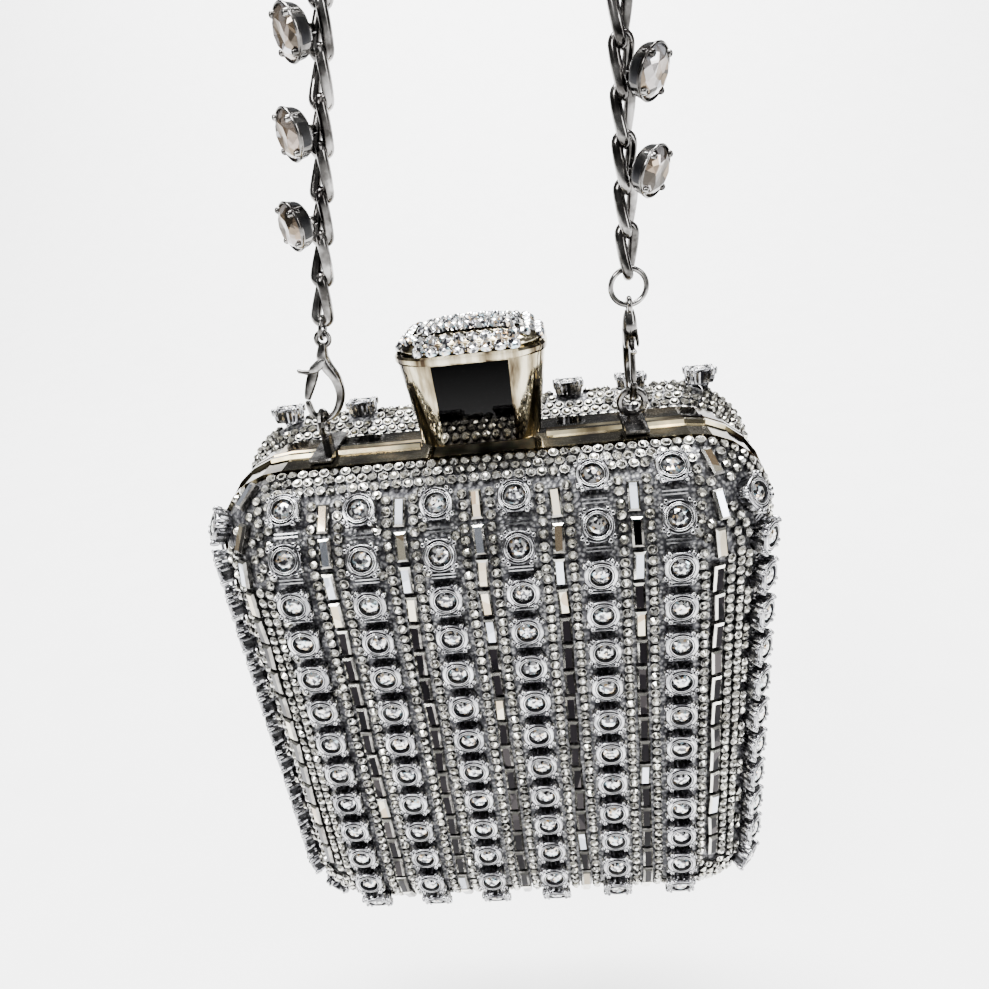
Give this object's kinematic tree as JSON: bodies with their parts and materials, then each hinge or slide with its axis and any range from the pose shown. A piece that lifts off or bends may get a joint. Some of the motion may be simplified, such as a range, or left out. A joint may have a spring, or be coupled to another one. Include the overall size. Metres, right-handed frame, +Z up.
{
  "type": "rhinestone box evening bag",
  "caption": "Hard two-shell evening bag covered in set stones, with framed hinge, press-knob clasp and a jewelled chain strap on lobster claws.",
  "frame": {"origin": "top of the strap's arch, on the centre line of its top link, where a hand or hook holds the bag", "axes": "+X to the bag's right seen from its front, +Y from the front half to the back half, +Z up; the case hangs below"},
  "size_m": [0.1378, 0.0602, 0.2643],
  "materials": {
    "shell": "satin dark",
    "lining": "matt",
    "rail": "polished pale gold plate",
    "setting": "bright silver plate with clear stones",
    "hinge": "satin",
    "chain": "dark nickel plate"
  },
  "bodies": {
    "strap": {"chain_link_01": "chain", "chain_link_02": "chain", "chain_link_03": "chain", "chain_link_04": "chain", "chain_link_05": "chain", "chain_link_06": "chain", "chain_link_07": "chain", "chain_link_08": "chain", "chain_link_09": "chain", "chain_link_10": "chain", "chain_link_11": "chain", "chain_link_12": "chain", "chain_link_13": "chain", "chain_link_14": "chain", "chain_link_15": "chain", "chain_link_16": "chain", "chain_link_17": "chain", "chain_link_18": "chain", "chain_link_19": "chain", "chain_link_20": "chain", "chain_link_21": "chain", "chain_link_22": "chain", "chain_link_23": "chain", "left_claw": "chain", "right_claw": "chain", "left_jump_ring": "chain", "right_jump_ring": "chain"},
    "back_half": {"back_shell": "shell", "back_lining": "lining", "back_rail": "rail", "back_cup_column_0": "setting", "back_cup_column_1": "setting", "back_cup_column_2": "setting", "back_cup_column_3": "setting", "back_cup_column_4": "setting", "back_cup_column_5": "setting", "back_cup_column_6": "setting", "back_hinge_leaf": "hinge", "left_strap_loop": "chain", "right_strap_loop": "chain"},
    "front_half": {"front_shell": "shell", "front_lining": "lining", "front_rail": "rail", "front_cup_column_0": "setting", "front_cup_column_1": "setting", "front_cup_column_2": "setting", "front_cup_column_3": "setting", "front_cup_column_4": "setting", "front_cup_column_5": "setting", "front_cup_column_6": "setting", "front_cup_column_7": "setting", "front_hinge_leaf": "hinge", "strike_fork": "hinge"},
    "clasp_knob": {"knob_body": "rail", "knob_stem": "hinge", "knob_stone_dome": "setting"},
    "left_trigger": {"left_trigger": "chain"},
    "right_trigger": {"right_trigger": "chain"}
  },
  "joints": [
    {"name": "bag_swing", "type": "hinge", "parent": "strap", "child": "back_half", "pos_m": [-0.0075, 0.00116, -0.10778], "axis": [1, 0, 0], "range_deg": [-60, 60]},
    {"name": "front_opening", "type": "hinge", "parent": "back_half", "child": "front_half", "pos_m": [-0.0075, 0, -0.25322], "axis": [1, 0, 0], "range_deg": [0, 80]},
    {"name": "knob_press", "type": "slide", "parent": "back_half", "child": "clasp_knob", "axis": [0, 0, -1], "range_m": [0, 0.0015], "stiffness_N_per_m": 1500, "springref_m": -0.001},
    {"name": "left_trigger_pull", "type": "hinge", "parent": "strap", "child": "left_trigger", "pos_m": [-0.04484, 0.00116, -0.09545], "axis": [0, -1, 0], "range_deg": [0, 25], "stiffness_Nm_per_rad": 0.01, "springref_deg": -11.46},
    {"name": "right_trigger_pull", "type": "hinge", "parent": "strap", "child": "right_trigger", "pos_m": [0.0281, -0.00093, -0.09631], "axis": [1, 0, 0], "range_deg": [0, 25], "stiffness_Nm_per_rad": 0.01, "springref_deg": -11.46}
  ]
}
